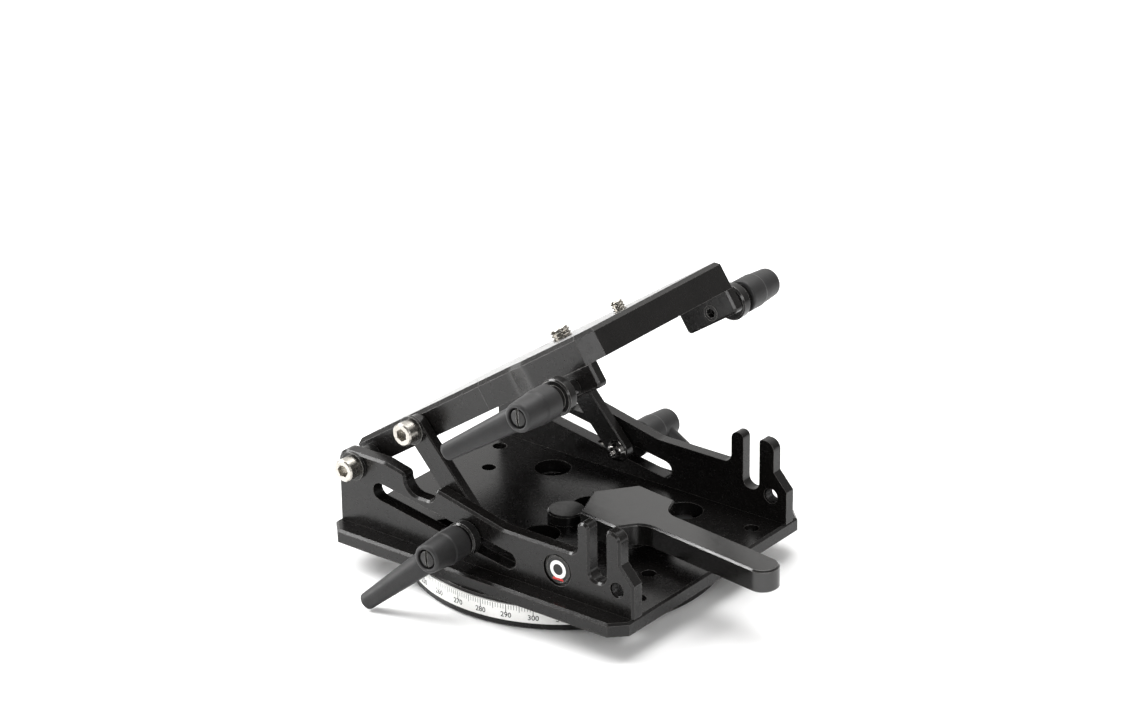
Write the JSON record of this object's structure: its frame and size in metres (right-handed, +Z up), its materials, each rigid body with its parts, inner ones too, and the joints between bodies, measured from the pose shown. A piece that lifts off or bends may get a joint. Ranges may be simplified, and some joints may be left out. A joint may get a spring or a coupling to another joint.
{
  "type": "rotary table",
  "caption": "Manual rotary and tilting table: graduated round base, drilled deck with slotted cheeks and a hinged camera plate held by clamping levers.",
  "frame": {"origin": "on the rotary axis, on the underside of the base disc", "axes": "+Z up along the rotary axis, +X from the plate's hinge towards the open prongs, -Y towards the cheek with the badge"},
  "size_m": [0.1958, 0.1866, 0.1346],
  "materials": {
    "black_anodised": "satin",
    "scale_white": "satin",
    "polished_steel": "polished",
    "screw_steel": "satin",
    "lever_plastic": "matte",
    "slide_plastic": "matte",
    "spring_steel": "satin",
    "black_steel": "satin"
  },
  "bodies": {
    "rotary_base": {"rotary_disc": "black_anodised", "scale_band": "scale_white", "glide_ring": "slide_plastic", "tripod_bush": "polished_steel", "centre_stud": "polished_steel", "pivot_nut": "black_steel"},
    "table": {"base_plate": "black_anodised", "turntable_ring": "black_anodised", "cheek_near": "black_anodised", "cheek_far": "black_anodised", "badge": "black_anodised", "cheek_screws": "screw_steel", "hinge_screw_near": "screw_steel", "hinge_screw_far": "screw_steel", "hinge_washer_near": "black_steel", "hinge_washer_far": "black_steel", "hinge_spacer_near": "black_steel", "hinge_spacer_far": "black_steel"},
    "tilting_plate": {"tilt_plate_rear": "black_anodised", "tilt_plate_front": "black_anodised", "splice_screws": "screw_steel", "lug_near": "black_anodised", "lug_far": "black_anodised", "lug_screws": "screw_steel", "lug_stud_near": "black_steel", "lug_stud_far": "black_steel", "link_screw_near": "screw_steel", "link_screw_far": "screw_steel", "link_washer_near": "black_steel", "link_washer_far": "black_steel"},
    "large_camera_screw": {"camera_screw_large": "screw_steel"},
    "small_camera_screw": {"camera_screw_small": "screw_steel"},
    "brake": {"brake_lever": "black_anodised", "brake_stud": "polished_steel", "brake_collar": "black_steel", "brake_shoe": "slide_plastic"},
    "near_link": {"link_near": "black_anodised", "slot_bolt_near": "black_steel"},
    "far_link": {"link_far": "black_anodised", "slot_bolt_far": "black_steel"},
    "near_slot_lever": {"slot_lever_near_insert": "black_steel", "slot_lever_near_screw": "black_steel"},
    "near_slot_handle": {"slot_lever_near_handle": "lever_plastic", "slot_lever_near_spring": "spring_steel"},
    "far_slot_lever": {"slot_lever_far_insert": "black_steel", "slot_lever_far_screw": "black_steel"},
    "far_slot_handle": {"slot_lever_far_handle": "lever_plastic", "slot_lever_far_spring": "spring_steel"},
    "near_lug_lever": {"lug_lever_near_insert": "black_steel", "lug_lever_near_screw": "black_steel"},
    "near_lug_handle": {"lug_lever_near_handle": "lever_plastic", "lug_lever_near_spring": "spring_steel"},
    "far_lug_lever": {"lug_lever_far_insert": "black_steel", "lug_lever_far_screw": "black_steel"},
    "far_lug_handle": {"lug_lever_far_handle": "lever_plastic", "lug_lever_far_spring": "spring_steel"}
  },
  "joints": [
    {"name": "table_turn", "type": "hinge", "parent": "rotary_base", "child": "table", "pos_m": [0, 0, 0.012], "axis": [0, 0, 1], "continuous": true},
    {"name": "plate_tilt", "type": "hinge", "parent": "table", "child": "tilting_plate", "pos_m": [-0.0695, 0, 0.0459], "axis": [0, -1, 0], "range_deg": [-33.86, 26.1]},
    {"name": "large_camera_screw_turn", "type": "hinge", "parent": "tilting_plate", "child": "large_camera_screw", "pos_m": [0.00669, 0, 0.09208], "axis": [-0.5572, 0, 0.8304], "continuous": true},
    {"name": "small_camera_screw_turn", "type": "hinge", "parent": "tilting_plate", "child": "small_camera_screw", "pos_m": [0.037, 0, 0.11242], "axis": [-0.5572, 0, 0.8304], "continuous": true},
    {"name": "brake_swing", "type": "hinge", "parent": "table", "child": "brake", "pos_m": [0.033, 0, 0.024], "axis": [0, 0, 1], "range_deg": [-28, 42]},
    {"name": "near_link_swing", "type": "hinge", "parent": "tilting_plate", "child": "near_link", "pos_m": [-0.04129, -0.0485, 0.06826], "axis": [0, -1, 0], "range_deg": [-42.6, 55.2]},
    {"name": "far_link_swing", "type": "hinge", "parent": "tilting_plate", "child": "far_link", "pos_m": [-0.04129, 0.0485, 0.06826], "axis": [0, -1, 0], "range_deg": [-42.6, 55.2]},
    {"name": "near_slot_lever_turn", "type": "hinge", "parent": "near_link", "child": "near_slot_lever", "pos_m": [-0.00756, -0.062, 0.03067], "axis": [0, -1, 0], "range_deg": [-60, 40]},
    {"name": "near_slot_handle_lift", "type": "slide", "parent": "near_slot_lever", "child": "near_slot_handle", "axis": [0, -1, 0], "range_m": [0, 0.003], "stiffness_N_per_m": 400, "springref_m": -0.002},
    {"name": "far_slot_lever_turn", "type": "hinge", "parent": "far_link", "child": "far_slot_lever", "pos_m": [-0.00756, 0.062, 0.03067], "axis": [0, -1, 0], "range_deg": [-90, 5]},
    {"name": "far_slot_handle_lift", "type": "slide", "parent": "far_slot_lever", "child": "far_slot_handle", "axis": [0, 1, 0], "range_m": [0, 0.003], "stiffness_N_per_m": 400, "springref_m": -0.002},
    {"name": "near_lug_lever_turn", "type": "hinge", "parent": "tilting_plate", "child": "near_lug_lever", "pos_m": [0.04402, -0.062, 0.11003], "axis": [0, -1, 0], "range_deg": [-90, 10]},
    {"name": "near_lug_handle_lift", "type": "slide", "parent": "near_lug_lever", "child": "near_lug_handle", "axis": [0, -1, 0], "range_m": [0, 0.003], "stiffness_N_per_m": 400, "springref_m": -0.002},
    {"name": "far_lug_lever_turn", "type": "hinge", "parent": "tilting_plate", "child": "far_lug_lever", "pos_m": [0.04402, 0.062, 0.11003], "axis": [0, -1, 0], "range_deg": [-90, 10]},
    {"name": "far_lug_handle_lift", "type": "slide", "parent": "far_lug_lever", "child": "far_lug_handle", "axis": [0, 1, 0], "range_m": [0, 0.003], "stiffness_N_per_m": 400, "springref_m": -0.002}
  ],
  "couplings": [
    {"joint": "near_link_swing", "follows": "plate_tilt", "ratio": -1.624},
    {"joint": "far_link_swing", "follows": "plate_tilt", "ratio": -1.624}
  ]
}
